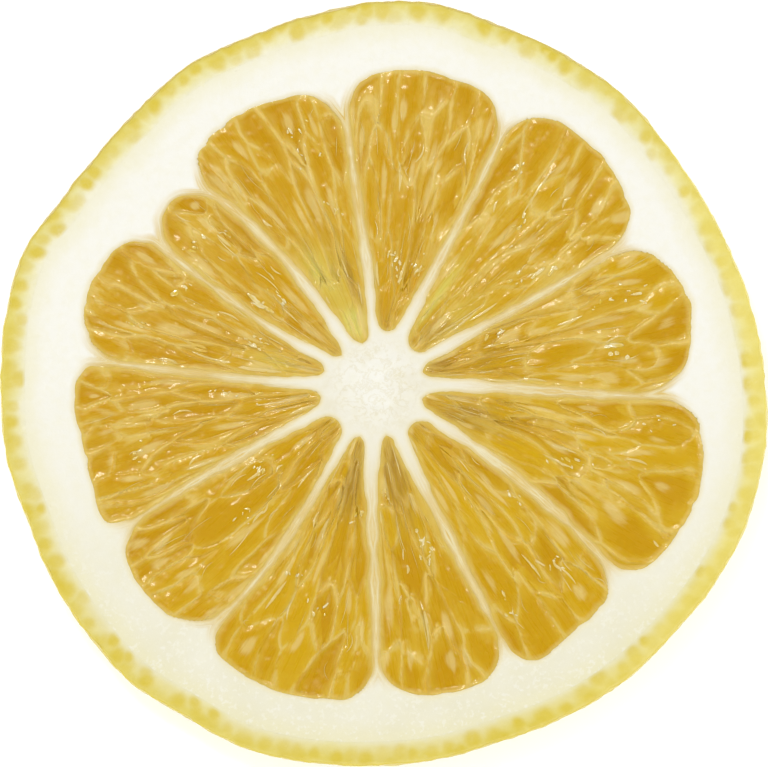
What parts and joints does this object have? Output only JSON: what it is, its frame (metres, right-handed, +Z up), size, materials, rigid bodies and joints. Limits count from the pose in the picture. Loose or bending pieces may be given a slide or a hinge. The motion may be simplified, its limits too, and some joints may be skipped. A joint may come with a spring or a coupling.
{
  "type": "lemon slice",
  "caption": "Round slice cut across a lemon, with a yellow peel, white pith and core, thin radial membranes and sunken wedges of juicy pulp.",
  "frame": {"origin": "middle of the core on the underside, the flat cut face it rests on", "axes": "+Z up through the slice's thickness, +X and +Y across the cut face"},
  "size_m": [0.0599, 0.0599, 0.006],
  "materials": {
    "pulp": "wet translucent pulp",
    "pith": "moist spongy pith",
    "peel": "waxy dimpled peel"
  },
  "bodies": {
    "root": {"lemon_slice": "pulp"}
  },
  "joints": []
}
